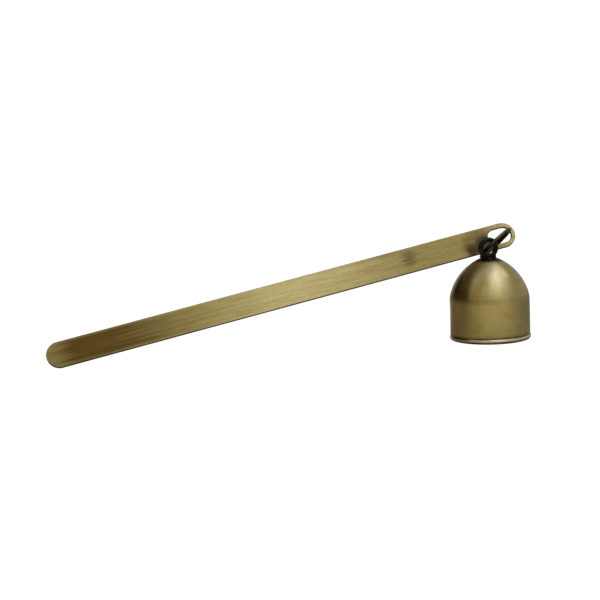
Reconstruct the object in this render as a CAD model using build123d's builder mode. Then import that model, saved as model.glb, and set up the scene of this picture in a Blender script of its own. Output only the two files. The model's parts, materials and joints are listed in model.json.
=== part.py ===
from build123d import *
from math import acos, asin, atan2, cos, degrees, hypot, radians, sin, sqrt, tan
import os

# Candle snuffer, in millimetres, +Z up.
# The bell stands on its rim with the centre of its mouth at the origin, and the handle lies along X with
# its grip end on the same surface and its other end linked to the eye on the bell's crown.

# Bell: a spun sheet with a straight skirt, a domed top and a beaded rim
bell_diameter = 27.6
bell_wall = 0.8
shoulder_height = 14.5
shoulder_break = 11.0  # degrees that the dome turns in, sharply, where it leaves the skirt
dome_radius = 18.6
crown_land_radius = 3.4  # flat pressed into the crown, where the eye's foot sits
bead_height = 1.7
bead_proud = 0.22
bead_foot = 0.15  # how far the flat that the bell stands on ends short of the skirt
groove_depth = 0.16
groove_height = 0.3

# Eye on a flat neck and a flared foot, drawn down on the crown by a nut inside the bell
eye_diameter = 7.4
eye_wire = 1.7
eye_turn = 5.0  # degrees about Z
neck_width = 5.6
neck_thickness = 1.5
neck_height = 1.2
foot_radius = 2.9
foot_edge = 0.25
foot_height = 0.7
foot_top_radius = 1.5
shank_diameter = 3.0
shank_clearance = 0.1
washer_diameter = 6.0
washer_thickness = 0.5
nut_width = 5.5
nut_height = 2.4
nut_clearance = 0.05
shank_tail = 0.6
shank_chamfer = 0.3

# Link: a wire ring, bent shut, that leans on the eye
link_diameter = 13.5  # at the middle of the wire
link_wire = 1.3
link_slit = 0.12
link_turn = -33.4  # degrees about Z from the Y axis to the ring's level diameter
link_lean = 44.3  # degrees that the ring's plane rises from level
link_at_eye = 257.6  # place on the ring, in degrees, that lies in the eye
link_past_eye = 0.4  # how far the wire's middle lies beyond the eye's centre
link_slit_at = 120.0  # place of the slit on the ring, in degrees
link_play = 0.16  # between the ring and the strip's lower edge
link_end_play = 0.52  # between the ring and the far end of the strip's hole

# Handle: a flat strip with round ends and a long hole for the link
handle_length = 167.9
handle_width = 9.0
handle_thickness = 1.2
handle_edge = 0.25  # rounding of every edge
handle_lean = 25.3  # degrees that the strip's face leans back
hole_length = 8.45
hole_width = 5.6
hole_end_rim = 1.45
link_ahead = 0.341  # distance of the ring's centre from the strip's middle plane, as a share of its radius

# Bell outline: centre of the dome's arc, and the height at which it reaches the land
bell_radius = bell_diameter / 2
bore_radius = bell_radius - bell_wall
break_angle = radians(shoulder_break)
dome_centre_x = bell_radius - dome_radius * cos(break_angle)
dome_centre_z = shoulder_height - dome_radius * sin(break_angle)
land_height = dome_centre_z + sqrt(dome_radius**2 - (crown_land_radius - dome_centre_x) ** 2)
land_under = land_height - bell_wall
shank_radius = shank_diameter / 2
crown_hole_radius = shank_radius + shank_clearance


def dome_arc(inset, skirt_radius, land_z):
    """The dome's arc, moved in by a wall, from the skirt to the height of the flat land."""
    radius = dome_radius - inset
    start = acos((skirt_radius - dome_centre_x) / radius)
    end = asin((land_z - dome_centre_z) / radius)
    return CenterArc((dome_centre_x, dome_centre_z), radius, degrees(start), degrees(end - start))


with BuildPart() as bell_cup:
    with BuildSketch(Plane.XZ):
        with BuildLine():
            bead_top = (bell_radius - groove_depth, bead_height)
            groove_top = (bell_radius, bead_height + groove_height)
            bead_side = (bell_radius + bead_proud, bead_height / 2)
            Line((bore_radius, 0), (bell_radius - bead_foot, 0))
            ThreePointArc((bell_radius - bead_foot, 0), bead_side, bead_top)
            Line(bead_top, groove_top)
            outside = dome_arc(0, bell_radius, land_height)
            inside = dome_arc(bell_wall, bore_radius, land_under)
            Line(groove_top, outside @ 0)
            Line(outside @ 1, (crown_hole_radius, land_height))
            Line((crown_hole_radius, land_height), (crown_hole_radius, land_under))
            Line((crown_hole_radius, land_under), inside @ 1)
            Line(inside @ 0, (bore_radius, 0))
        make_face()
    revolve(axis=Axis.Z)

# Eye: its lowest point is level with the underside of its foot
eye_wire_radius = eye_wire / 2
eye_ring_radius = eye_diameter / 2 - eye_wire_radius
eye_centre = Vector(0, 0, land_height + eye_diameter / 2)
eye_side = Vector(1, 0, 0).rotate(Axis.Z, eye_turn)
eye_axis = Vector(0, 1, 0).rotate(Axis.Z, eye_turn)
shank_end = land_under - washer_thickness - nut_height - shank_tail

with BuildPart() as eye_bolt:
    with BuildSketch(Plane.XZ):
        with BuildLine():
            Polyline(
                (0, shank_end),
                (shank_radius - shank_chamfer, shank_end),
                (shank_radius, shank_end + shank_chamfer),
                (shank_radius, land_height),
                (foot_radius, land_height),
                (foot_radius, land_height + foot_edge),
                (foot_top_radius, land_height + foot_height),
                (0, land_height + foot_height),
                close=True,
            )
        make_face()
    revolve(axis=Axis.Z)
    with BuildSketch(Plane(origin=eye_centre, x_dir=eye_side, z_dir=Vector(0, 0, 1))):
        with Locations((eye_ring_radius, 0)):
            Circle(eye_wire_radius)
    revolve(axis=Axis(eye_centre, eye_axis))
    with BuildSketch(Plane.XY.offset(land_height)):
        SlotOverall(neck_width, neck_thickness, rotation=eye_turn)
    extrude(amount=neck_height)

with BuildPart() as inner_washer:
    with BuildSketch(Plane.XY.offset(land_under)):
        Circle(washer_diameter / 2)
        Circle(crown_hole_radius, mode=Mode.SUBTRACT)
    extrude(amount=-washer_thickness)

nut_top = land_under - washer_thickness
nut_corner = nut_width / 2 / cos(radians(30))
nut_chamfer = nut_corner - nut_width / 2

with BuildPart() as hex_nut:
    with BuildSketch(Plane.XY.offset(nut_top)):
        RegularPolygon(nut_width / 2, side_count=6, major_radius=False)
        Circle(shank_radius + nut_clearance, mode=Mode.SUBTRACT)
    extrude(amount=-nut_height)
    # The corners are turned off at 30 degrees on the side away from the washer
    with BuildSketch(Plane.XZ):
        with BuildLine():
            Polyline(
                (nut_width / 2, nut_top - nut_height),
                (nut_corner + nut_chamfer, nut_top - nut_height),
                (nut_corner + nut_chamfer, nut_top - nut_height + 2 * nut_chamfer * tan(radians(30))),
                close=True,
            )
        make_face()
    revolve(axis=Axis.Z, mode=Mode.SUBTRACT)

# Ring: its plane holds the eye's centre, one diameter is level and the other rises at link_lean
link_radius = link_diameter / 2
link_wire_radius = link_wire / 2
link_level = Vector(0, 1, 0).rotate(Axis.Z, link_turn)
link_away = Vector(1, 0, 0).rotate(Axis.Z, link_turn)
link_rise = link_away * cos(radians(link_lean)) + Vector(0, 0, sin(radians(link_lean)))
link_axis = link_rise.cross(link_level)


def on_link(angle):
    """Unit vector from the ring's centre to the place on it at this angle, in radians."""
    return link_rise * cos(angle) + link_level * sin(angle)


link_centre = eye_centre - on_link(radians(link_at_eye)) * (link_radius - link_past_eye)
slit_angle = degrees(link_slit / link_radius)

with BuildPart() as link_ring:
    slit_side = on_link(radians(link_slit_at))
    with BuildSketch(Plane(origin=link_centre, x_dir=slit_side, z_dir=link_axis.cross(slit_side))):
        with Locations((link_radius, 0)):
            Circle(link_wire_radius)
    revolve(axis=Axis(link_centre, link_axis), revolution_arc=360 - slit_angle)


def wire_room(along, normal, angle, play):
    """Room from the middle of the slanting wire to the strip's edge, along the strip's middle plane."""
    wire = link_level * cos(angle) - link_rise * sin(angle)
    slope = abs(wire.dot(along) / wire.dot(normal))
    return play + slope * handle_thickness / 2 + link_wire_radius * hypot(1, slope)


def handle_plane(pitch):
    """Plane of the strip at this pitch, with its origin at the centre of the round end by the bell.

    The ring passes once under the strip's lower edge and once through the far end of its hole.
    """
    along = Vector(cos(pitch), 0, sin(pitch))
    upright = Vector(-sin(pitch), 0, cos(pitch))
    lean = radians(handle_lean)
    across = upright * cos(lean) + Vector(0, 1, 0) * sin(lean)
    normal = upright * sin(lean) - Vector(0, 1, 0) * cos(lean)
    reach = hypot(normal.dot(link_rise), normal.dot(link_level))
    middle = atan2(normal.dot(link_level), normal.dot(link_rise))
    half_turn = acos(-link_ahead / reach)
    angles = (middle + half_turn, middle - half_turn)
    under, through = sorted(angles, key=lambda angle: on_link(angle).dot(along))
    low = -handle_width / 2 - wire_room(across, normal, under, link_play)
    centre_across = low - link_radius * on_link(under).dot(across)
    hole_across = centre_across + link_radius * on_link(through).dot(across)
    end_room = hole_width / 2 - wire_room(along, normal, through, link_end_play)
    hole_centre = handle_width / 2 - hole_end_rim - hole_width / 2
    hole_along = hole_centre + sqrt(max(end_room**2 - hole_across**2, 0))
    centre_along = hole_along - link_radius * on_link(through).dot(along)
    origin = link_centre - along * centre_along - across * centre_across - normal * link_ahead * link_radius
    return Plane(origin=origin, x_dir=along, z_dir=normal)


def drop_to_floor(plane):
    """How far the lowest point of a round end lies below the end's centre."""
    flat = hypot(plane.x_dir.Z, plane.y_dir.Z) * (handle_width / 2 - handle_edge)
    return flat + abs(plane.z_dir.Z) * (handle_thickness / 2 - handle_edge) + handle_edge


# The pitch that lays the grip end on the surface, found by stepping towards it
end_to_end = handle_length - handle_width
handle_pitch = 0.0
for step in range(8):
    strip = handle_plane(handle_pitch)
    handle_pitch = asin((strip.origin.Z - drop_to_floor(strip)) / end_to_end)
strip = handle_plane(handle_pitch)

with BuildPart() as handle_bar:
    with BuildSketch(strip):
        with Locations((-end_to_end / 2, 0)):
            SlotOverall(handle_length, handle_width)
        with Locations((handle_width / 2 - hole_end_rim - hole_length / 2, 0)):
            SlotOverall(hole_length, hole_width, mode=Mode.SUBTRACT)
    extrude(amount=handle_thickness / 2, both=True)
    faces = handle_bar.faces().sort_by(SortBy.AREA)[-2:]
    fillet(faces.edges(), handle_edge)

pieces = {
    "bell_cup": bell_cup,
    "eye_bolt": eye_bolt,
    "inner_washer": inner_washer,
    "hex_nut": hex_nut,
    "link_ring": link_ring,
    "handle_bar": handle_bar,
}

os.makedirs("parts", exist_ok=True)
for name, piece in pieces.items():
    piece.part.label = name
    export_step(piece.part, f"parts/{name}.step")
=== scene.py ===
import json
from functools import partial
from math import acos, asin, cos, pi, radians, sin, sqrt, tan

import bmesh
import bpy
import numpy as np
from bpy.props import FloatProperty, FloatVectorProperty, PointerProperty
from mathutils import Matrix, Vector


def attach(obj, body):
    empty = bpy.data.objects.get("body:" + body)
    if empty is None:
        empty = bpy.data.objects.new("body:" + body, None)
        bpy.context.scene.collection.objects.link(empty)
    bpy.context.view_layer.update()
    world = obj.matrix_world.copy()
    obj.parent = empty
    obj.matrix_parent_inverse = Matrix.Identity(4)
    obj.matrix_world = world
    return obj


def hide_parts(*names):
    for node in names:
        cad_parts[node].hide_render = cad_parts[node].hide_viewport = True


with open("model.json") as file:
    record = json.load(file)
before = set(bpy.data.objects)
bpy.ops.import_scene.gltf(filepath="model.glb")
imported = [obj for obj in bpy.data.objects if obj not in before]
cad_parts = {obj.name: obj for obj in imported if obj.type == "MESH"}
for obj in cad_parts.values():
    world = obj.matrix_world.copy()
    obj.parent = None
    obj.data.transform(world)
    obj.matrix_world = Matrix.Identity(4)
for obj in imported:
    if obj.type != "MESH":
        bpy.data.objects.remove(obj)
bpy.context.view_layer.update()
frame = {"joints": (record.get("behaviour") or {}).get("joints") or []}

bl_info = {
    "name": "Candle snuffer",
    "version": (1, 0, 0),
    "blender": (4, 5, 0),
    "location": "3D View > Sidebar > Snuffer",
    "description": "Dresses a candle snuffer: a spun bell, a wire link and a strip handle",
    "category": "Object",
}

MM = 0.001
UP = np.array([0.0, 0.0, 1.0])
UV_NAME = "Surface"
SHARP_ANGLE = radians(35)
WELD_DISTANCE = 0.00001 * MM
JOINTS = {joint["name"]: joint for joint in frame["joints"]}
# Angles of the points round a wire's section
WIRE_SECTION = np.linspace(0, 2 * pi, 40, endpoint=False)

# Shader nodes that repeat, and their settings. A mix takes its share at input 0. It takes numbers at inputs
# 2 and 3, or colours at inputs 6 and 7, and then gives the mixed colour at output 2.
MATH = "ShaderNodeMath"
MIX = "ShaderNodeMix"
MAP_RANGE = "ShaderNodeMapRange"
ADD = {"operation": "ADD"}
MULTIPLY = {"operation": "MULTIPLY"}
MULTIPLY_ADD = {"operation": "MULTIPLY_ADD"}
DISTANCE = {"operation": "DISTANCE"}
SMOOTH = {"interpolation_type": "SMOOTHSTEP"}
COLOURS = {"data_type": "RGBA"}
FILM = {"data_type": "RGBA", "blend_type": "MULTIPLY"}


def to_linear(code):
    """An sRGB hex colour as linear red, green and blue, and an alpha of 1."""
    srgb = np.array([int(code[i : i + 2], 16) for i in (1, 3, 5)]) / 255
    return (*np.where(srgb <= 0.04045, srgb / 12.92, ((srgb + 0.055) / 1.055) ** 2.4), 1.0)


def length(name, description, millimetres):
    return FloatProperty(
        name=name, description=description, default=millimetres * MM, min=0.0, unit="LENGTH", precision=5
    )


def angle(name, description, degrees):
    return FloatProperty(name=name, description=description, default=radians(degrees), unit="ROTATION")


def point(name, description, millimetres):
    metres = [part * MM for part in millimetres]
    return FloatVectorProperty(
        name=name, description=description, default=metres, size=3, subtype="TRANSLATION", precision=5
    )


def colour(name, description, code):
    return FloatVectorProperty(
        name=name, description=description, default=to_linear(code), size=4, min=0.0, max=1.0, subtype="COLOR"
    )


class SnufferSizes(bpy.types.PropertyGroup):
    """Sizes of the metal pieces"""

    bell_diameter: length("Bell diameter", "Outside of the straight skirt", 27.6)
    bell_wall: length("Bell wall", "Thickness of the spun sheet", 0.8)
    shoulder_height: length("Shoulder height", "Where the dome leaves the skirt", 14.5)
    shoulder_break: angle("Shoulder break", "Turn between the skirt and the dome", 11.0)
    dome_radius: length("Dome radius", "Radius of the dome's outline", 18.6)
    land_radius: length("Land radius", "Radius of the flat under the eye's foot", 3.4)
    bead_height: length("Bead height", "Height of the rim's bead", 1.7)
    bead_proud: length("Bead proud", "How far the bead stands out of the skirt", 0.22)
    bead_foot: length("Bead foot", "Inset of the flat under the bead", 0.15)
    groove_depth: length("Groove depth", "Depth of the groove above the bead", 0.16)
    groove_height: length("Groove height", "Height of the groove above the bead", 0.3)
    eye_diameter: length("Eye diameter", "Outside of the eye", 7.4)
    eye_wire: length("Eye wire", "Thickness of the eye's wire", 1.7)
    neck_width: length("Neck width", "Width of the neck under the eye", 5.6)
    neck_thickness: length("Neck thickness", "Thickness of the neck under the eye", 1.5)
    neck_height: length("Neck height", "Height of the neck above the crown", 1.2)
    foot_radius: length("Foot radius", "Radius of the eye's flared foot", 2.9)
    foot_edge: length("Foot edge", "Height of the foot's rim", 0.25)
    foot_height: length("Foot height", "Height of the foot", 0.7)
    foot_top: length("Foot top", "Radius of the foot's top", 1.5)
    shank_radius: length("Shank radius", "Radius of the screw under the eye", 1.5)
    hole_radius: length("Crown hole radius", "Radius of the hole in the crown", 1.6)
    shank_tail: length("Shank tail", "Screw that shows past the nut", 0.6)
    washer_radius: length("Washer radius", "Outside of the washer", 3.0)
    washer_thickness: length("Washer thickness", "Thickness of the washer", 0.5)
    nut_width: length("Nut width", "Width across the nut's flats", 5.5)
    nut_height: length("Nut height", "Height of the nut", 2.4)
    nut_bore: length("Nut bore radius", "Radius of the nut's bore", 1.55)
    link_radius: length("Link radius", "Radius of the ring at the middle of its wire", 6.75)
    link_wire: length("Link wire", "Thickness of the ring's wire", 1.3)
    link_slit: length("Link slit", "Slit where the bent wire meets itself", 0.12)
    link_slit_at: angle("Link slit place", "Place of the slit, from the ring's highest point", 120.0)
    handle_length: length("Handle length", "Length of the strip", 167.9)
    handle_width: length("Handle width", "Width of the strip", 9.0)
    handle_thickness: length("Handle thickness", "Thickness of the strip", 1.2)
    handle_edge: length("Handle edge", "Rounding of the strip's edges", 0.25)
    hole_length: length("Hole length", "Length of the hole for the link", 8.45)
    hole_width: length("Hole width", "Width of the hole for the link", 5.6)
    hole_end_rim: length("Hole end rim", "Metal past the hole's end", 1.45)
    handle_pitch: angle("Handle pitch", "Rise of the strip towards the bell", 11.0186)
    handle_lean: angle("Handle lean", "How far the strip's face leans back", 25.3)
    handle_end: point("Handle end", "Centre of the strip's round end by the bell", (7.9501, 7.8538, 34.6249))


class SnufferFinish(bpy.types.PropertyGroup):
    """Colours of the finishes"""

    brass_light: colour("Brass, worn", "Brass where the brush has cut through the patina", "#C2B279")
    # Lightens the bead's crest: rubbed wear, and a painted highlight as well
    bead_wear_and_highlight: colour("Brass, rubbed", "Brass rubbed bright on the crest of the bead", "#F0DFBC")
    brass_mid: colour("Brass, antiqued", "Brass under a thin patina", "#A89254")
    # Painted shade that dims the strip towards the bell
    bell_end_shade: colour("Film, bell end", "Patina that dims the strip towards the bell", "#C1BAA6")
    # Painted shade round the eye on the strip
    eye_shade_film: colour("Film, by the eye", "Dirt that dims the strip round the eye", "#BDB5A0")
    # Painted shade on the bell's left and right flanks
    flank_shade: colour("Film, bell's flanks", "Patina that browns the sides of the bell", "#F4E0D2")
    film_grip: colour("Film, grip", "Patina that browns the strip towards the grip", "#937C52")
    brass_dark: colour("Brass, stained", "Brass under a brown patina", "#6E5426")
    # Brown blots, and also the painted shade beside the eye
    blot_and_eye_shade: colour("Blot", "Brown blots on the strip", "#392507")
    # Painted shade: the strip where it shows through the eye
    shade_in_eye: colour("Grime", "Grey-brown grime on the strip behind the eye", "#372F20")
    # Also the painted shade under the bead and on the strip's lower wall
    patina: colour("Patina", "Black patina on the wire and in the edges", "#19120C")
    # Worn patina, and on the link also the colour of a painted highlight
    worn_patina_and_highlight: colour("Patina, worn", "Patina rubbed thin on the ridges", "#8C8060")
    turned_brass: colour("Turned brass", "Bare brass of the nut and washer", "#B59A5B")
    paper: colour("Paper", "White paper that the snuffer stands on", "#F4F4F2")


class SnufferStage(bpy.types.PropertyGroup):
    """Camera, light and floor"""

    target: point("Target", "Point at the middle of the picture", (-67.09, 0.0, 18.10))
    distance: length("Distance", "From the camera to the target", 500.0)
    azimuth: angle("Azimuth", "Turn of the camera about the upright axis", -11.434)
    elevation: angle("Elevation", "Height of the camera above level", 8.379)
    roll: angle("Roll", "Turn of the camera about its own axis", -2.431)
    lens: FloatProperty(name="Lens", description="Focal length", default=88.78, unit="CAMERA")
    floor_size: length("Floor size", "Side of the paper", 6000.0)


def sizes():
    return bpy.context.scene.snuffer_sizes


def finish_colours():
    return bpy.context.scene.snuffer_finish


def line(start, end, count):
    """Points on a straight line, the last one left out: start plus a share of the way to end."""
    share = np.linspace(0, 1, count, endpoint=False)[:, None]
    return np.asarray(start) + share * (np.asarray(end) - np.asarray(start))


def path(corners, counts):
    """Straight lines from corner to corner, each with its count of points, the last corner left out."""
    return np.concatenate([line(*leg) for leg in zip(corners, corners[1:], counts)])


def arc(centre, radius, start, end, count):
    """Points on a circle, the last one left out: centre plus radius times cosine and sine of the angle."""
    turn = np.linspace(start, end, count, endpoint=False)
    return np.asarray(centre) + radius * np.stack([np.cos(turn), np.sin(turn)], 1)


def circle_through(first, middle, last):
    """Centre, radius and the first and last angle of the circle through three points.

    The centre is where twice its product with each chord is the difference of the ends' squares.
    """
    chords = np.array([np.subtract(middle, first), np.subtract(last, first)])
    squares = [np.dot(end, end) - np.dot(first, first) for end in (middle, last)]
    centre = np.linalg.solve(2 * chords, np.array(squares))
    angles = [np.arctan2(*np.subtract(end, centre)[::-1]) for end in (first, last)]
    return centre, np.linalg.norm(np.subtract(first, centre)), *angles


def fade(distance, near, far):
    """A share that falls evenly from 1 at the near distance to 0 at the far one."""
    return np.clip((far - distance) / (far - near), 0, 1)


def turned(profile, segments):
    """A surface of revolution: each point (r, z) goes round the upright axis as r cos a, r sin a, z."""
    turn = np.linspace(0, 2 * pi, segments, endpoint=False)[:, None]
    radius, height = profile[:, 0], profile[:, 1]
    return np.stack([radius * np.cos(turn), radius * np.sin(turn), height + 0 * turn], 2)


def bent_wire(centre, axes, radius, turn, thick):
    """Round wire bent about an axis, as a row of points round its section for each angle of the turn.

    A point is the centre, plus radius + thick cos b outwards, plus thick sin b along the axis. Outwards is
    cos a along the first of the axes plus sin a along the second.
    """
    first, second, axis = axes
    turn = turn[:, None, None]
    section = WIRE_SECTION[None, :, None]
    outwards = np.cos(turn) * first + np.sin(turn) * second
    points = np.asarray(centre) + (radius + thick * np.cos(section)) * outwards
    return points + thick * np.sin(section) * axis


def stadium(half_length, radius, centre, samples):
    """A loop of two half circles joined by straight sides: centre, plus or minus half_length, plus radius."""
    caps = np.linspace(-pi / 2, pi / 2, samples)
    straight = np.linspace(1, -1, samples + 2)[1:-1]
    right = np.stack([half_length + radius * np.cos(caps), radius * np.sin(caps)], 1)
    upper = np.stack([half_length * straight, np.full(samples, radius)], 1)
    loop = np.concatenate([right, upper, -right, -upper])
    return loop + np.array([centre, 0.0])


def with_supports(profile, reach):
    """Adds a point close to both sides of every profile point, so that smooth shading bends only there.

    It lies at the reach along the side, or at most at 0.4 of its length.
    """
    sides = [np.roll(profile, step, 0) - profile for step in (1, -1)]
    shares = [np.minimum(reach / np.linalg.norm(side, axis=1), 0.4)[:, None] for side in sides]
    behind, ahead = (profile + side * share for side, share in zip(sides, shares))
    return np.stack([behind, profile, ahead], 1).reshape(-1, 2)


def surface_object(name, points, closed=(True, True), attributes=None, flat=None):
    """A mesh whose vertices are a grid of points, with quads between neighbours.

    closed says for each of the grid's two directions whether its last row joins its first. The UV map runs
    from 0 to 1 along both directions, or holds flat, two lengths per vertex. Each attribute holds one value
    per vertex. Points that fall together, as at a pole, become one.
    """
    rows, columns = points.shape[:2]
    index = np.arange(rows * columns).reshape(rows, columns)
    down = np.roll(index, -1, 0)
    right = np.roll(index, -1, 1)
    across = np.roll(down, -1, 1)
    quads = np.stack([index, down, across, right], 2)
    start = np.stack(np.meshgrid(np.arange(rows) / rows, np.arange(columns) / columns, indexing="ij"), 2)
    steps = np.array([(0, 0), (1, 0), (1, 1), (0, 1)]) / (rows, columns)
    corners = start[:, :, None, :] + steps
    last_row = rows if closed[0] else rows - 1
    last_column = columns if closed[1] else columns - 1
    quads = quads[:last_row, :last_column].reshape(-1, 4)
    corners = corners[:last_row, :last_column].reshape(-1, 2)
    if flat is not None:
        corners = flat.reshape(-1, 2)[quads.reshape(-1)]
    mesh = bpy.data.meshes.new(name)
    mesh.from_pydata(points.reshape(-1, 3).tolist(), [], quads.tolist())
    mesh.uv_layers.new(name=UV_NAME).data.foreach_set("uv", corners.reshape(-1).astype(np.float32))
    for key, values in (attributes or {}).items():
        layer = mesh.attributes.new(key, "FLOAT", "POINT")
        spread = np.broadcast_to(values, (rows, columns)).reshape(-1)
        layer.data.foreach_set("value", spread.astype(np.float32))
    welded = bmesh.new()
    welded.from_mesh(mesh)
    bmesh.ops.remove_doubles(welded, verts=welded.verts, dist=WELD_DISTANCE)
    welded.to_mesh(mesh)
    welded.free()
    mesh.validate()
    mesh.shade_smooth()
    mesh.set_sharp_from_angle(angle=SHARP_ANGLE)
    thing = bpy.data.objects.new(name, mesh)
    bpy.context.scene.collection.objects.link(thing)
    return thing


def place_piece(thing, node, body, material):
    """Lets a piece stand for its solid, ride on the solid's body and wear its material."""
    thing.data.materials.append(material)
    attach(thing, body)
    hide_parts(node)


def add_node(tree, kind, settings=None, inputs=None, output=0):
    """Adds one shader node and gives one of its outputs. A socket among the inputs is linked to its input."""
    new = tree.nodes.new(kind)
    for key, value in (settings or {}).items():
        setattr(new, key, value)
    for key, value in (inputs or {}).items():
        if isinstance(value, bpy.types.NodeSocket):
            tree.links.new(value, new.inputs[key])
        else:
            new.inputs[key].default_value = value
    return new.outputs[output] if new.outputs else new


def new_material(name):
    """An empty node material, with add_node made ready for its tree."""
    material = bpy.data.materials.new(name)
    material.use_nodes = True
    material.node_tree.nodes.clear()
    return material, partial(add_node, material.node_tree)


def marked_metal(name, marks, origin=(0.0, 0.0, 0.0), turn=(0.0, 0.0, 0.0)):
    """Starts a metal with marks on it, on axes of its own that start at origin and are turned.

    A mark is a cloud with lengths along the three axes in millimetres, a detail and a roughness. The
    material, add_node for its tree, the place on its axes and the marks come back.
    """
    material, node = new_material(name)
    place = node("ShaderNodeTexCoord", output="Object")
    own_axes = {"Vector": place, "Location": origin, "Rotation": turn}
    place = node("ShaderNodeMapping", {"vector_type": "TEXTURE"}, own_axes)
    made = []
    for spread, detail, roughness in marks:
        scale = tuple(1 / (part * MM) for part in spread)
        stretched = node("ShaderNodeMapping", None, {"Vector": place, "Scale": scale})
        cloud = {"Vector": stretched, "Scale": 1.0, "Detail": detail, "Roughness": roughness}
        made.append(node("ShaderNodeTexNoise", None, cloud))
    return material, node, place, made


def finish_metal(node, base, roughness, relief, depth, anisotropy, coat):
    """Ends a metal under a clear lacquer, if it has a coat, with brush marks along the UV map's U."""
    tangent = node("ShaderNodeTangent", {"direction_type": "UV_MAP", "uv_map": UV_NAME})
    normal = node("ShaderNodeBump", None, {"Strength": 1.0, "Distance": depth, "Height": relief})
    look = {
        "Base Color": base,
        "Roughness": roughness,
        "Metallic": 1.0,
        "Normal": normal,
        "Tangent": tangent,
        "Anisotropic": anisotropy,
        "Anisotropic Rotation": 0.25,
        "Coat Weight": coat,
        "Coat Roughness": 0.18,
    }
    node("ShaderNodeOutputMaterial", None, {"Surface": node("ShaderNodeBsdfPrincipled", None, look)})


def handle_frame():
    """Axes of the strip: along it towards the bell, across it upwards, and out of its face."""
    size = sizes()
    along = np.array([cos(size.handle_pitch), 0, sin(size.handle_pitch)])
    upright = np.array([-sin(size.handle_pitch), 0, cos(size.handle_pitch)])
    sideways = np.array([0, 1.0, 0])
    across = upright * cos(size.handle_lean) + sideways * sin(size.handle_lean)
    outwards = upright * sin(size.handle_lean) - sideways * cos(size.handle_lean)
    return along, across, outwards


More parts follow.
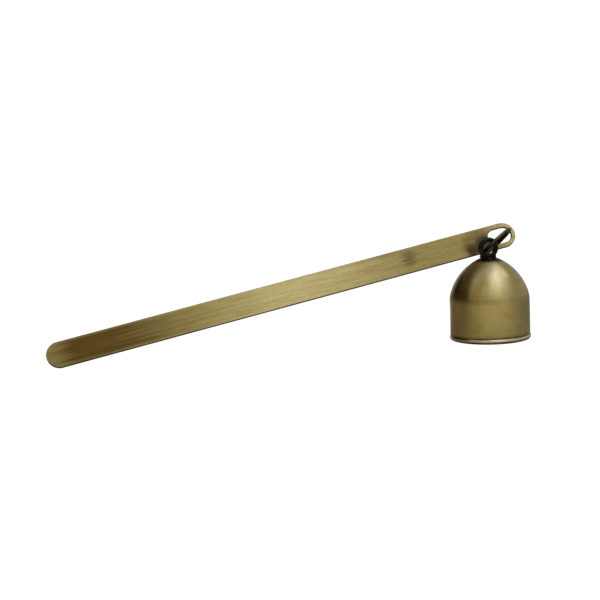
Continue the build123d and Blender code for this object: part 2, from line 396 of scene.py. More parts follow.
def brushed_antique_brass():
    """Brass strip, blackened, then brushed along its length and lacquered.

    The brush leaves fine light and dark lines along the strip, the brown stain stays between them and
    towards the grip, and the sawn side walls, which no brush touches, keep the black patina. The lower wall
    is kept darker as painted shade and the upper rounding lighter as a painted highlight, and painted shade
    dims the strip towards the bell and round the eye.
    """
    size = sizes()
    tint = finish_colours()
    # Real brush lines are about 0.1 mm wide. They are drawn 0.3 and 0.8 mm wide so that they show
    fine_lines = ((9, 0.3, 3), 3.0, 0.65)
    broad_lines = ((40, 0.8, 6), 2.0, 0.5)
    stain_clouds = ((20, 2.4, 5), 4.0, 0.6)
    short_specks = ((1.6, 0.35, 1), 2.0, 0.6)
    marks = (fine_lines, broad_lines, stain_clouds, short_specks)
    turn = Matrix(np.array(handle_frame()).T.tolist()).to_euler()
    material, node, strip, made = marked_metal("brushed_antique_brass", marks, tuple(size.handle_end), turn)
    fine, broad, clouds, specks = made
    along = node("ShaderNodeSeparateXYZ", None, {0: strip}, "X")
    fine_share = node(MATH, MULTIPLY, {0: fine, 1: 0.75})
    lines = node(MATH, MULTIPLY_ADD, {0: broad, 1: 0.25, 2: fine_share})
    cut = node(MAP_RANGE, SMOOTH, {"Value": lines, "From Min": 0.36, "From Max": 0.64})
    brass = node(MIX, COLOURS, {0: cut, 6: tint.brass_mid, 7: tint.brass_light}, 2)
    # Painted shade: a film dims the strip towards the bell, and eases to half at the very end
    bell_end_shade_share = node(MAP_RANGE, SMOOTH, {"Value": along, "From Min": -75 * MM, "From Max": -28 * MM})
    at_end = {"Value": along, "From Min": -5 * MM, "From Max": 2 * MM, "To Min": 1.0, "To Max": 0.5}
    shade_eased_at_end = node(MAP_RANGE, SMOOTH, at_end)
    bell_end_shade_share = node(MATH, MULTIPLY, {0: bell_end_shade_share, 1: shade_eased_at_end})
    brass = node(MIX, FILM, {0: bell_end_shade_share, 6: brass, 7: tint.bell_end_shade}, 2)
    # The grip has a browner film. The hand wears it off along the edges, round the tip and in streaks
    held = node(MAP_RANGE, None, {"Value": along, "From Min": -85 * MM, "From Max": -142 * MM})
    grip_centre = size.handle_width - size.handle_length
    nearest = node(MATH, {"operation": "MAXIMUM"}, {0: along, 1: grip_centre})
    spine = node("ShaderNodeCombineXYZ", None, {"X": nearest})
    from_spine = node("ShaderNodeVectorMath", DISTANCE, {0: strip, 1: spine}, "Value")
    edges = {"Value": from_spine, "From Min": 3.0 * MM, "From Max": 4.5 * MM, "To Min": 1.0, "To Max": 0.62}
    tip = {"Value": along, "From Min": -152 * MM, "From Max": -163 * MM, "To Min": 1.0, "To Max": 0.4}
    streaks = {"Value": broad, "From Min": 0.35, "From Max": 0.65, "To Min": 1.2, "To Max": 0.9}
    for wear in (edges, tip, streaks):
        left = node(MAP_RANGE, SMOOTH, wear)
        held = node(MATH, MULTIPLY, {0: held, 1: left})
    brass = node(MIX, FILM, {0: held, 6: brass, 7: tint.film_grip}, 2)
    stained = node(MAP_RANGE, SMOOTH, {"Value": clouds, "From Min": 0.5, "From Max": 0.75, "To Max": 0.3})
    brass = node(MIX, COLOURS, {0: stained, 6: brass, 7: tint.brass_dark}, 2)
    # Short dark marks, more of them towards the bell
    pitted = node(MAP_RANGE, SMOOTH, {"Value": specks, "From Min": 0.52, "From Max": 0.72, "To Max": 0.4})
    by_bell = node(MATH, MULTIPLY_ADD, {0: bell_end_shade_share, 1: 0.9, 2: 0.7})
    pitted = node(MATH, MULTIPLY, {0: pitted, 1: by_bell})
    brass = node(MIX, COLOURS, {0: pitted, 6: brass, 7: tint.brass_dark}, 2)
    # Round spots: a dark blot among the lines, then painted shade by the eye: a dimming film round it, a
    # grey-brown patch where the strip shows through it, and a dark blot beside it.
    # Each has its middle and the distances between which it fades, in millimetres, its strongest share, what
    # breaks it up, the way that it colours and its colour
    low_lines = {"Value": fine, "From Min": 0.4, "From Max": 0.6, "To Min": 1.0, "To Max": 0.3}
    low_streaks = {"Value": lines, "From Min": 0.38, "From Max": 0.62, "To Min": 1.0, "To Max": 0.6}
    high_specks = {"Value": specks, "From Min": 0.35, "From Max": 0.6, "To Min": 0.7}
    ranges = (low_lines, low_streaks, high_specks)
    between_lines, streaked, speckled = (node(MAP_RANGE, SMOOTH, part) for part in ranges)
    everywhere = 1.0
    spots = (
        ((-34.8, 0.5), (0.8, 4.4), 0.78, between_lines, COLOURS, tint.blot_and_eye_shade),
        # Painted shade by the eye: round it, through it and beside it
        ((-9.5, -1.5), (4.0, 7.4), 1.0, streaked, FILM, tint.eye_shade_film),
        ((-7.2, -2.0), (2.6, 4.7), 1.0, everywhere, COLOURS, tint.shade_in_eye),
        ((-12.2, -2.5), (0.9, 3.0), 1.0, speckled, COLOURS, tint.blot_and_eye_shade),
    )
    for middle, (near, far), strongest, break_up, way, dirt in spots:
        on_face = (middle[0] * MM, middle[1] * MM, size.handle_thickness / 2)
        away = node("ShaderNodeVectorMath", DISTANCE, {0: strip, 1: on_face}, "Value")
        ends = {"From Min": near * MM, "From Max": far * MM, "To Min": strongest, "To Max": 0.0}
        spot = node(MAP_RANGE, SMOOTH, {"Value": away, **ends})
        spot = node(MATH, MULTIPLY, {0: spot, 1: break_up})
        brass = node(MIX, way, {0: spot, 6: brass, 7: dirt}, 2)
    # Black patina on the sawn walls, darker on the lower wall as painted shade
    wall = node("ShaderNodeAttribute", {"attribute_name": "side_wall"}, None, "Fac")
    base = node(MIX, COLOURS, {0: wall, 6: brass, 7: tint.patina}, 2)
    gloss = {"Value": fine, "From Min": 0.3, "From Max": 0.7, "To Min": 0.30, "To Max": 0.42}
    roughness = node(MAP_RANGE, SMOOTH, gloss)
    finish_metal(node, base, roughness, fine, depth=0.008 * MM, anisotropy=0.75, coat=0.2)
    return material


def spun_antique_brass():
    """Brass sheet, spun over a former, stained and brushed while it turned, then lacquered.

    The brush runs round the bell, so that light spreads up and down it. The stain stays in soft clouds, and
    black patina stays in the groove above the bead and inside. The crown is darker round the eye's foot.
    Painted shade darkens the bead's underside and the flanks, and rubbed wear with a painted highlight
    lightens the bead's crest.
    """
    tint = finish_colours()
    # Real brush lines are about 0.1 mm wide. They are drawn 0.3 mm wide so that they show
    fine_lines = ((18, 18, 0.3), 3.0, 0.6)
    broad_lines = ((25, 25, 1.6), 2.0, 0.5)
    stain_clouds = ((7, 7, 6), 4.0, 0.6)
    fine_grain = ((0.5, 0.5, 0.4), 2.0, 0.6)
    upright_nicks = ((0.25, 0.25, 3), 1.0, 0.5)
    marks = (fine_lines, broad_lines, stain_clouds, fine_grain, upright_nicks)
    material, node, place, made = marked_metal("spun_antique_brass", marks)
    fine, broad, clouds, grain, nicks = made
    fine_share = node(MATH, MULTIPLY, {0: fine, 1: 0.65})
    lines = node(MATH, MULTIPLY_ADD, {0: broad, 1: 0.35, 2: fine_share})
    cut = node(MAP_RANGE, SMOOTH, {"Value": lines, "From Min": -0.1, "From Max": 1.1})
    brass = node(MIX, COLOURS, {0: cut, 6: tint.brass_mid, 7: tint.brass_light}, 2)
    stain = {"Value": clouds, "From Min": 0.5, "From Max": 0.85, "To Max": 0.4}
    pores = {"Value": grain, "From Min": 0.45, "From Max": 0.75, "To Max": 0.25}
    for dark_part in (stain, pores):
        darkened = node(MAP_RANGE, SMOOTH, dark_part)
        brass = node(MIX, COLOURS, {0: darkened, 6: brass, 7: tint.brass_dark}, 2)
    # Painted shade: the flanks, left and right, are darker and browner than the front
    sideways = node("ShaderNodeSeparateXYZ", None, {0: place}, "X")
    aside = node(MATH, {"operation": "ABSOLUTE"}, {0: sideways})
    flank_shade_share = node(MAP_RANGE, SMOOTH, {"Value": aside, "From Min": 8 * MM, "From Max": 13.5 * MM})
    brass = node(MIX, FILM, {0: flank_shade_share, 6: brass, 7: tint.flank_shade}, 2)
    # Short upright nicks, from use, on the right half of the skirt
    nicked = node(MAP_RANGE, SMOOTH, {"Value": nicks, "From Min": 0.61, "From Max": 0.68, "To Max": 0.6})
    upwards = node("ShaderNodeSeparateXYZ", None, {0: place}, "Z")
    right_half = {"Value": sideways, "From Min": -1 * MM, "From Max": 3 * MM}
    below_dome = {"Value": upwards, "From Min": 10 * MM, "From Max": 13 * MM, "To Min": 1.0, "To Max": 0.0}
    for part in (right_half, below_dome):
        there = node(MAP_RANGE, SMOOTH, part)
        nicked = node(MATH, MULTIPLY, {0: nicked, 1: there})
    brass = node(MIX, COLOURS, {0: nicked, 6: brass, 7: tint.brass_dark}, 2)
    # Patina in the groove and inside, painted shade under the bead, and darker round the eye's foot
    hollows_and_shade = node("ShaderNodeAttribute", {"attribute_name": "unbrushed"}, None, "Fac")
    uneven = node(MAP_RANGE, SMOOTH, {"Value": clouds, "From Min": 0.3, "From Max": 0.6, "To Min": 0.7})
    dark = node(MATH, MULTIPLY, {0: hollows_and_shade, 1: uneven})
    base = node(MIX, COLOURS, {0: dark, 6: brass, 7: tint.patina}, 2)
    # The bead's crest is lighter: rubbed wear, and a painted highlight as well
    rubbed = node("ShaderNodeAttribute", {"attribute_name": "rubbed"}, None, "Fac")
    base = node(MIX, COLOURS, {0: rubbed, 6: base, 7: tint.bead_wear_and_highlight}, 2)
    gloss = {"Value": fine, "From Min": 0.3, "From Max": 0.7, "To Min": 0.33, "To Max": 0.37}
    roughness = node(MAP_RANGE, SMOOTH, gloss)
    roughness = node(MATH, MULTIPLY_ADD, {0: rubbed, 1: -0.1, 2: roughness})
    finish_metal(node, base, roughness, fine, depth=0.0015 * MM, anisotropy=0.6, coat=0.5)
    return material


def blackened_brass(name="blackened_brass"):
    """Brass wire and casting in a black patina, rubbed thin where the pieces touch and are handled. On the
    link, the lighter part is also a painted highlight.
    """
    tint = finish_colours()
    blotches = ((1.5, 1.5, 1.5), 3.0, 0.6)
    fine_grit = ((0.25, 0.25, 0.25), 2.0, 0.6)
    material, node, _, (blotch, grit) = marked_metal(name, (blotches, fine_grit))
    # Wear, and on the link a painted highlight
    wear_and_highlight_share = node("ShaderNodeAttribute", {"attribute_name": "rubbed"}, None, "Fac")
    marks_and_painted_light = node(MAP_RANGE, SMOOTH, {"Value": blotch, "From Min": 0.3, "From Max": 0.7, "To Min": 0.3})
    thin = node(MATH, MULTIPLY, {0: wear_and_highlight_share, 1: marks_and_painted_light})
    base = node(MIX, COLOURS, {0: thin, 6: tint.patina, 7: tint.worn_patina_and_highlight}, 2)
    gloss = {"Value": blotch, "From Min": 0.3, "From Max": 0.7, "To Min": 0.34, "To Max": 0.5}
    roughness = node(MAP_RANGE, SMOOTH, gloss)
    finish_metal(node, base, roughness, grit, depth=0.012 * MM, anisotropy=0.0, coat=0.15)
    return material


def turned_plain_brass():
    """Bare turned brass of the screw's nut and washer, with fine tool rings and a few dull patches."""
    tint = finish_colours()
    tool_rings = ((4, 4, 0.12), 2.0, 0.5)
    dull_patches = ((1.2, 1.2, 1.2), 2.0, 0.5)
    marks = (tool_rings, dull_patches)
    material, node, _, (rings, patches) = marked_metal("turned_plain_brass", marks)
    dull = node(MAP_RANGE, SMOOTH, {"Value": patches, "From Min": 0.4, "From Max": 0.7})
    base = node(MIX, COLOURS, {0: dull, 6: tint.turned_brass, 7: tint.brass_dark}, 2)
    gloss = {"Value": patches, "From Min": 0.3, "From Max": 0.7, "To Min": 0.22, "To Max": 0.40}
    roughness = node(MAP_RANGE, SMOOTH, gloss)
    finish_metal(node, base, roughness, rings, depth=0.008 * MM, anisotropy=0.0, coat=0.0)
    return material


def bell_heights():
    """Centre of the dome's arc and the heights of the crown's flat land, outside and inside."""
    size = sizes()
    radius = size.bell_diameter / 2
    centre = (radius - size.dome_radius * cos(size.shoulder_break),
              size.shoulder_height - size.dome_radius * sin(size.shoulder_break))
    land = centre[1] + sqrt(size.dome_radius**2 - (size.land_radius - centre[0]) ** 2)
    return centre, land, land - size.bell_wall


class SNUFFER_OT_bell(bpy.types.Operator):
    """Makes the spun bell"""

    bl_idname = "snuffer.bell"
    bl_label = "Bell"

    def unbrushed(self, profile):
        """How dark each point of the profile is: patina that the brush has left, and painted shade.

        Patina fades with the distance from the groove and, thinly, the shoulder, and it is even on the
        inside.
        Painted shade fades with the height from the bead's underside. The crown is darker round the eye's
        foot.
        """
        size = sizes()
        radius, height = profile.T
        centre = bell_heights()[0]
        from_groove = np.abs(height - size.bead_height - 0.1 * MM)
        from_shoulder = np.abs(height - size.shoulder_height - 0.3 * MM)
        in_groove = fade(from_groove, 0.041 * MM, 0.45 * MM)
        # Painted shade on the bead's underside
        shade_under_bead = fade(height, 0.55 * MM, 0.95 * MM)
        by_foot = fade(radius, 4.1 * MM, 5.3 * MM)
        at_shoulder = 0.25 * fade(from_shoulder, 0, 0.15 * MM)
        below_dome = np.hypot(radius - centre[0], height - centre[1]) < size.dome_radius - size.bell_wall / 2
        in_skirt = (2 * radius < size.bell_diameter - size.bell_wall) & (height < size.shoulder_height)
        inside = np.where(below_dome & (height >= size.shoulder_height) | in_skirt, 0.75, 0.0)
        return np.maximum.reduce([in_groove, shade_under_bead, by_foot, at_shoulder, inside])[None, :]

    def rubbed(self, profile):
        """How much lighter the bead is, from rubbed wear and a painted highlight: it fades up and down from
        its crest.
        """
        radius, height = profile.T
        crest = fade(np.abs(height - 1.1 * MM), 0, 0.5 * MM)
        on_outside = radius > sizes().bell_diameter / 2 - 0.05 * MM
        return np.where(on_outside, np.minimum(crest, 0.65), 0.0)[None, :]

    def execute(self, context):
        """The bell is one turned outline, up its outside, over the crown and down its inside.

        Its bead and dome are arcs, and its shoulder is a curve of the second order.
        """
        size = sizes()
        outside = size.bell_diameter / 2
        bore = outside - size.bell_wall
        centre, land, under = bell_heights()
        inner_radius = size.dome_radius - size.bell_wall
        foot = (outside - size.bead_foot, 0.0)
        bead_top = (outside - size.groove_depth, size.bead_height)
        groove_top = (outside, size.bead_height + size.groove_height)
        bead = circle_through(foot, (outside + size.bead_proud, size.bead_height / 2), bead_top)
        land_angle = acos((size.land_radius - centre[0]) / size.dome_radius)
        bore_angle = acos((bore - centre[0]) / inner_radius)
        under_angle = asin((under - centre[1]) / inner_radius)
        # The spun shoulder bends over a few millimetres, and meets the skirt and the dome without a break
        bend_on_dome = 2.0 * MM
        bend_angle = size.shoulder_break + bend_on_dome / size.dome_radius
        bend_end = np.array(centre) + size.dome_radius * np.array([cos(bend_angle), sin(bend_angle)])
        reach = (outside - bend_end[0]) / sin(bend_angle)
        corner = np.array([outside, bend_end[1] - reach * cos(bend_angle)])
        bend_start = corner - np.array([0.0, reach])
        share = np.linspace(0, 1, 12, endpoint=False)[:, None]
        bend = (1 - share) ** 2 * bend_start + 2 * share * (1 - share) * corner + share**2 * bend_end
        above_groove = (outside, groove_top[1] + 0.12 * MM)
        hole = size.hole_radius
        inner_land = centre[0] + inner_radius * cos(under_angle)
        profile = np.concatenate([
            line((bore, 0.0), foot, 3),
            arc(*bead, 14),
            path([bead_top, groove_top, above_groove, bend_start], [3, 1, 12]),
            bend,
            arc(centre, size.dome_radius, bend_angle, land_angle, 44),
            path([(size.land_radius, land), (hole, land), (hole, under), (inner_land, under)], [4, 2, 4]),
            arc(centre, inner_radius, under_angle, bore_angle, 32),
            line((bore, centre[1] + inner_radius * sin(bore_angle)), (bore, 0.0), 12),
        ])
        marks_and_painted_light = {"unbrushed": self.unbrushed(profile), "rubbed": self.rubbed(profile)}
        thing = surface_object("bell", turned(profile, 240), attributes=marks_and_painted_light)
        place_piece(thing, "bell_cup", "bell", spun_antique_brass())
        return {"FINISHED"}


class SNUFFER_OT_fastening(bpy.types.Operator):
    """Makes the eye with its foot and screw, and the washer and nut that hold it"""

    bl_idname = "snuffer.fastening"
    bl_label = "Eye and its fastening"

    def eye_axes(self):
        """Level across the eye, upright, and the eye's own axis."""
        axis = np.array(JOINTS["link_in_eye"]["axis"])
        return np.array([axis[1], -axis[0], 0]), UP, axis

    def eye(self):
        """The eye is a whole ring of bent wire, rubbed a little on its outside."""
        size = sizes()
        wire = size.eye_wire / 2
        ring = size.eye_diameter / 2 - wire
        turn = np.linspace(0, 2 * pi, 128, endpoint=False)
        points = bent_wire(JOINTS["link_in_eye"]["pos_m"], self.eye_axes(), ring, turn, wire)
        rubbed = 0.25 * np.clip(np.cos(WIRE_SECTION), 0, 1)[None, :] ** 2
        return surface_object("eye", points, attributes={"rubbed": rubbed})

    def neck(self):
        """The flat neck is a stack of stadiums: upright sides, a rounded top edge, closed at both ends."""
        size = sizes()
        level, upright, axis = self.eye_axes()
        land = bell_heights()[1]
        top = land + size.neck_height
        half = size.neck_thickness / 2
        edge = 0.2 * MM
        quarter = np.linspace(0, pi / 2, 6)
        sides = np.concatenate([[0.0, half, half], half - edge + edge * np.cos(quarter), [0.0]])
        heights = np.concatenate([[land, land, land + edge], top - edge + edge * np.sin(quarter), [top]])
        spread = size.neck_width / 2 - half
        loops = np.stack([stadium(spread, side, 0.0, 24) for side in sides], 1)
        points = loops[..., :1] * level + loops[..., 1:] * axis + heights[:, None] * upright
        return surface_object("eye_neck", points, closed=(True, False))

    def foot(self):
        """The foot and screw are one turned outline, from the screw's end to the middle of the foot's top."""
        size = sizes()
        land, under = bell_heights()[1:]
        end = under - size.washer_thickness - size.nut_height - size.shank_tail
        rim = 0.1 * MM
        chamfer = 0.3 * MM
        shank = size.shank_radius
        rim_radius = size.foot_radius - rim
        rim_top = land + size.foot_edge
        top = land + size.foot_height
        screw = [(0.0, end), (shank - chamfer, end), (shank, end + chamfer), (shank, land)]
        outline = np.concatenate([
            path([*screw, (rim_radius, land)], [3, 3, 8, 3]),
            arc((rim_radius, land + rim), rim, -pi / 2, 0, 5),
            line((size.foot_radius, land + rim), (size.foot_radius, rim_top - rim), 2),
            arc((rim_radius, rim_top - rim), rim, 0, pi / 2, 5),
            path([(rim_radius, rim_top), (size.foot_top, top), (0.0, top)], [8, 4]),
            np.array([[0.0, top]]),
        ])
        return surface_object("eye_foot", turned(outline, 96), closed=(True, False))

    def washer(self):
        """The washer is a turned rectangle with its corners taken off."""
        size = sizes()
        top = bell_heights()[2]
        bottom = top - size.washer_thickness
        bore, rim = size.hole_radius, size.washer_radius
        edge = 0.08 * MM
        outline = np.array([
            (bore, bottom + edge), (bore + edge, bottom), (rim - edge, bottom), (rim, bottom + edge),
            (rim, top - edge), (rim - edge, top), (bore + edge, top), (bore, top - edge),
        ])
        return surface_object("inner_washer_disc", turned(with_supports(outline, 0.03 * MM), 96))

    def nut(self):
        """A hexagon's radius is half its width over the cosine of the angle from the nearest flat's middle.

        Below, the corners end on a cone that falls to the flats' inner circle.
        """
        size = sizes()
        top = bell_heights()[2] - size.washer_thickness
        bottom = top - size.nut_height
        turn = np.linspace(0, 2 * pi, 180, endpoint=False)
        flat = size.nut_width / 2
        hexagon = flat / np.cos((turn + pi / 6) % (pi / 3) - pi / 6)
        cone = bottom + (hexagon - flat) * tan(radians(30))
        ones = np.ones_like(turn)
        bore = size.nut_bore * ones
        face = 0.98 * flat * ones
        # The cone's edge is broken a little, inwards and upwards
        inwards, upwards = 0.02 * MM, 0.03 * MM
        radius = np.stack([bore, face, hexagon - inwards, hexagon, hexagon, bore], 1)
        height = np.stack([bottom * ones, bottom * ones, cone, cone + upwards, top * ones, top * ones], 1)
        turn = turn[:, None]
        points = np.stack([radius * np.cos(turn), radius * np.sin(turn), height], 2)
        return surface_object("hexagon_nut", points)

    def execute(self, context):
        patina = blackened_brass()
        plain = turned_plain_brass()
        for make in (self.eye, self.neck, self.foot):
            place_piece(make(), "eye_bolt", "bell", patina)
        place_piece(self.washer(), "inner_washer", "bell", plain)
        place_piece(self.nut(), "hex_nut", "bell", plain)
        return {"FINISHED"}


class SNUFFER_OT_link(bpy.types.Operator):
    """Makes the wire ring that links the handle to the eye"""

    bl_idname = "snuffer.link"
    bl_label = "Link ring"

    def execute(self, context):
        """The ring is a bent wire with a narrow slit: its two ends are flat discs with a slight bevel.

        It is lighter most at one place of the ring, on the side of the wire that the axis points to: partly
        wear, partly a painted highlight on the strand in front.
        """
        size = sizes()
        joint = JOINTS["handle_on_link"]
        axis = np.array(joint["axis"])
        level = np.cross(axis, UP)
        level = level / np.linalg.norm(level)
        rise = np.cross(level, axis)
        wire = size.link_wire / 2
        slit = size.link_slit / size.link_radius
        start = size.link_slit_at
        turn = np.linspace(start, start + 2 * pi - slit, 201)
        turn = np.concatenate([[turn[0]] * 2, turn, [turn[-1]] * 2])
        thick = np.full((len(turn), 1, 1), wire)
        thick[[0, -1]] = 0.0
        bevelled = 0.97 * wire
        thick[[1, -2]] = bevelled
        points = bent_wire(joint["pos_m"], (rise, level, axis), size.link_radius, turn, thick)
        # Wear, and a painted highlight on the strand that faces the front
        wear_and_highlight_at = radians(335)
        along_ring = np.clip(2.0 * np.cos(turn - wear_and_highlight_at) - 0.4, 0, 1)[:, None]
        round_wire = np.clip(0.7 * np.sin(WIRE_SECTION) + 0.5, 0, 1)[None, :]
        rubbed = {"rubbed": along_ring * round_wire}
        thing = surface_object("link_wire_ring", points, closed=(False, True), attributes=rubbed)
        place_piece(thing, "link_ring", "link", blackened_brass("blackened_brass_wire"))
        return {"FINISHED"}


class SNUFFER_OT_handle(bpy.types.Operator):
    """Makes the strip handle"""

    bl_idname = "snuffer.handle"
    bl_label = "Handle"

    def execute(self, context):
        """Loops run from the outline over its rounded edge, across the back to the hole, up and back again.

        Every loop is a stadium. On the faces it is a share of the way from the outline to the hole's edge.
        """
        size = sizes()
        samples = 72
        edge = size.handle_edge
        half = size.handle_thickness / 2
        spread = (size.handle_length - size.handle_width) / 2
        hole_spread = (size.hole_length - size.hole_width) / 2
        hole_centre = size.handle_width / 2 - size.hole_end_rim - size.hole_length / 2
        quarter = np.linspace(0, pi / 2, 7)
        rounding = np.stack([edge * np.sin(quarter) - edge, half - edge + edge * np.cos(quarter)], 1)
        wall = np.concatenate([rounding, rounding[::-1] * [1, -1]])
        on_wall = np.concatenate([quarter, quarter[::-1]]) / (pi / 2)

        def outer(grow):
            return stadium(spread, size.handle_width / 2 + grow, -spread, samples)

        def inner(grow):
            return stadium(hole_spread, size.hole_width / 2 - grow, hole_centre, samples)

        shares = (0.01, 0.15, 0.3, 0.45, 0.6, 0.75, 0.9, 0.985)
        face = [outer(-edge) * (1 - share) + inner(-edge) * share for share in shares]
        back = [(loop, -half, 0.0) for loop in face]
        front = [(loop, half, 0.0) for loop in face[::-1]]
        outside = [(outer(grow), height, side) for (grow, height), side in zip(wall, on_wall)]
        inside = [(inner(grow), height, side) for (grow, height), side in zip(wall[::-1], on_wall[::-1])]
        loops = outside + back + inside + front
        along, across, outwards = handle_frame()
        flat, heights, sides = (np.array(part) for part in zip(*loops))
        flat = flat.transpose(1, 0, 2)
        heights = heights[None, :, None]
        points = np.array(size.handle_end) + flat[..., :1] * along + flat[..., 1:] * across
        points += heights * outwards
        lengths = np.concatenate([flat[..., :1], flat[..., 1:] + heights], 2) / size.handle_length
        # Along the upper edge the brush cuts most of the rounding bright, and it is kept bright as a painted
        # highlight; the lower wall keeps its patina darker, as painted shade
        upper_rounding = (np.arange(len(loops)) < len(outside)) & (flat[..., 1] > 0)
        walls = np.where(upper_rounding, sides**3, sides**0.5)
        thing = surface_object("handle_strip", points, attributes={"side_wall": walls}, flat=lengths)
        place_piece(thing, "handle_bar", "handle", brushed_antique_brass())
        return {"FINISHED"}


class SNUFFER_OT_stage(bpy.types.Operator):
    """Makes the paper floor, the studio light and the camera"""

    bl_idname = "snuffer.stage"
    bl_label = "Stage"

    def floor(self):
        """A flat sheet of white paper. The camera sees it evenly lit, as paper lit from below would be."""
        stage = bpy.context.scene.snuffer_stage
        side = np.linspace(-stage.floor_size / 2, stage.floor_size / 2, 9)
        x, y = np.meshgrid(side, side, indexing="ij")
        under_rim = 0.02 * MM
        thing = surface_object("paper_floor", np.stack([x, y, 0 * x - under_rim], 2), closed=(False, False))
        material, node = new_material("white_paper")
        seen = node("ShaderNodeLightPath", output="Is Camera Ray")
        plain = node("ShaderNodeBsdfDiffuse", None, {"Color": finish_colours().paper})
        place = node("ShaderNodeTexCoord", output="Object")
        # In the metal, the paper is dim and warm, with pools of light before the snuffer, on its left, and
        # behind the bell and the strip. Each has its middle and the distances between which it fades, in
        # millimetres, its brightness, and the share of X in its distances, which makes the last one long
        pools = (
            ((0, -180), (50, 200), 0.96, 1.0),
            ((-60, -60), (20, 90), 0.28, 1.0),
            ((0, 75), (15, 45), 0.6, 1.0),
            ((-110, 35), (10, 28), 0.3, 0.3),
        )
        lit = 0.16
        for middle, (near, far), bright, share in pools:
            shortened = node("ShaderNodeMapping", None, {"Vector": place, "Scale": (share, 1.0, 1.0)})
            from_middle = {0: shortened, 1: (middle[0] * share * MM, middle[1] * MM, 0.0)}
            away = node("ShaderNodeVectorMath", DISTANCE, from_middle, "Value")
            ends = {"From Min": near * MM, "From Max": far * MM, "To Min": bright, "To Max": 0.0}
            pool = node(MAP_RANGE, SMOOTH, {"Value": away, **ends})
            lit = node(MATH, ADD, {0: lit, 1: pool})
        warm, white = (1.05, 0.99, 0.63, 1), (1, 1, 1, 1)
        from_camera = 1.2
        strength = node(MIX, None, {0: seen, 2: lit, 3: from_camera})
        hue = node(MIX, COLOURS, {0: seen, 6: warm, 7: white}, 2)
        glow = node("ShaderNodeEmission", None, {"Color": hue, "Strength": strength})
        glow_share = 0.82
        both = node("ShaderNodeMixShader", None, {0: glow_share, 1: plain, 2: glow})
        node("ShaderNodeOutputMaterial", None, {"Surface": both})
        thing.data.materials.append(material)

    def softbox(self, name, sideways, upwards, brightness, tint):
        """A flat panel that fills these angles to the right of the front and above the floor, in degrees."""
        middle_of_snuffer = Vector((-0.03, 0.0, 0.02))
        reach = 0.7
        turn = radians(sum(sideways) / 2)
        tilt = radians(sum(upwards) / 2)
        towards = Vector((sin(turn) * cos(tilt), -cos(turn) * cos(tilt), sin(tilt)))
        width = 2 * reach * tan(radians(sideways[1] - sideways[0]) / 2)
        height = 2 * reach * tan(radians(upwards[1] - upwards[0]) / 2)
        lamp = bpy.data.lights.new(name, "AREA")
        lamp.shape = "RECTANGLE"
        lamp.size = width
        lamp.size_y = height
        lamp.energy = brightness * pi * width * height
        lamp.color = tint
        thing = bpy.data.objects.new(name, lamp)
        thing.location = middle_of_snuffer + towards * reach
        thing.rotation_euler = towards.to_track_quat("Z", "Y").to_euler()
        bpy.context.scene.collection.objects.link(thing)

    def surroundings(self):
        """White to the camera. In the metal, a dim room that is lighter on the right and behind."""
        world = bpy.data.worlds.new("studio")
        bpy.context.scene.world = world
        world.use_nodes = True
        world.node_tree.nodes.clear()
        node = partial(add_node, world.node_tree)
        seen = node("ShaderNodeLightPath", output="Is Camera Ray")
        direction = node("ShaderNodeTexCoord", output="Generated")
        # Sides of the room: the axis that points there, where its light starts and is full, and its colour
        walls = (
            ("Z", 0.2, 1.0, (0.17, 0.145, 0.09, 1)),
            ("X", -0.3, 0.9, (0.46, 0.45, 0.41, 1)),
            ("Y", 0.88, 1.0, (0.45, 0.41, 0.35, 1)),
        )
        room = (0, 0, 0, 1)
        for axis, start, full, light in walls:
            way = node("ShaderNodeSeparateXYZ", None, {0: direction}, axis)
            share = node(MAP_RANGE, SMOOTH, {"Value": way, "From Min": start, "From Max": full})
            room = node(MIX, COLOURS, {0: share, 6: room, 7: light}, 2)
        shown = node(MIX, COLOURS, {0: seen, 6: room, 7: (1, 1, 1, 1)}, 2)
        background = node("ShaderNodeBackground", None, {"Color": shown, "Strength": 1.0})
        node("ShaderNodeOutputWorld", None, {"Surface": background})

    def camera(self):
        """A camera that looks from the azimuth and elevation at the target, turned by the roll."""
        stage = bpy.context.scene.snuffer_stage
        turn, tilt, roll = stage.azimuth, stage.elevation, stage.roll
        back = Vector((sin(turn) * cos(tilt), -cos(turn) * cos(tilt), sin(tilt)))
        level = Vector((cos(turn), sin(turn), 0))
        upright = back.cross(level)
        right = level * cos(roll) + upright * sin(roll)
        up = upright * cos(roll) - level * sin(roll)
        lens = bpy.data.cameras.new("camera")
        lens.sensor_width = 36.0
        lens.lens = stage.lens
        lens.clip_start = 0.01
        lens.clip_end = 50.0
        thing = bpy.data.objects.new("camera", lens)
        turned_axes = Matrix((right, up, back)).transposed().to_4x4()
        thing.matrix_world = Matrix.Translation(Vector(stage.target) + back * stage.distance) @ turned_axes
        bpy.context.scene.collection.objects.link(thing)
        bpy.context.scene.camera = thing

    def execute(self, context):
        self.floor()
        self.surroundings()
        self.camera()
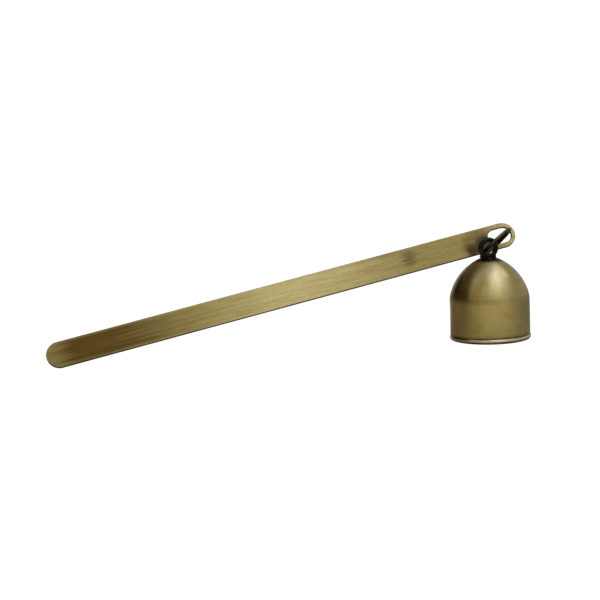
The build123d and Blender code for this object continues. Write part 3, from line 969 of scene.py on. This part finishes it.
        # Name, degrees to the right, degrees above the floor, brightness and tint
        softboxes = (
            ("front_softbox", (-8, 20), (22, 48), 0.89, (0.96, 1.02, 0.90)),
            ("front_left_softbox", (-40, -8), (22, 48), 0.62, (0.98, 1.02, 0.78)),
            ("front_right_card", (20, 55), (22, 48), 0.40, (0.95, 1.01, 1.08)),
            ("high_softbox", (3, 35), (48, 76), 1.10, (0.90, 1.01, 1.75)),
            ("high_left_softbox", (-24, 3), (46, 76), 0.34, (0.92, 1.01, 1.30)),
            ("high_right_card", (35, 85), (46, 76), 0.94, (0.90, 1.01, 1.40)),
            ("top_softbox", (-45, 45), (72, 100), 0.53, (0.92, 1.02, 1.30)),
            ("left_card", (-85, -40), (22, 48), 0.36, (1.12, 0.95, 0.62)),
            ("low_card", (-50, 40), (5, 22), 0.40, (1.0, 1.0, 1.10)),
            ("low_left_card", (-80, -50), (4, 22), 0.30, (1.10, 0.96, 0.66)),
        )
        for softbox in softboxes:
            self.softbox(*softbox)
        context.scene.view_settings.view_transform = "Standard"
        context.scene.view_settings.look = "None"
        return {"FINISHED"}


class SNUFFER_PT_panel(bpy.types.Panel):
    """Lists the snuffer's pieces and sizes"""

    bl_idname = "SNUFFER_PT_panel"
    bl_label = "Candle snuffer"
    bl_space_type = "VIEW_3D"
    bl_region_type = "UI"
    bl_category = "Snuffer"

    def draw(self, context):
        column = self.layout.column()
        for operator in OPERATORS:
            column.operator(operator.bl_idname)
        for name in GROUPS:
            group = getattr(context.scene, name)
            for key in group.__annotations__:
                column.prop(group, key)


OPERATORS = (SNUFFER_OT_bell, SNUFFER_OT_fastening, SNUFFER_OT_link, SNUFFER_OT_handle, SNUFFER_OT_stage)
GROUPS = {"snuffer_sizes": SnufferSizes, "snuffer_finish": SnufferFinish, "snuffer_stage": SnufferStage}
CLASSES = (*GROUPS.values(), *OPERATORS, SNUFFER_PT_panel)


def register():
    for kind in CLASSES:
        bpy.utils.register_class(kind)
    for name, group in GROUPS.items():
        setattr(bpy.types.Scene, name, PointerProperty(type=group))


def unregister():
    for name in GROUPS:
        delattr(bpy.types.Scene, name)
    for kind in reversed(CLASSES):
        bpy.utils.unregister_class(kind)


def main():
    register()
    bpy.ops.snuffer.stage()
    bpy.ops.snuffer.bell()
    bpy.ops.snuffer.fastening()
    bpy.ops.snuffer.link()
    bpy.ops.snuffer.handle()


if __name__ == "__main__":
    main()
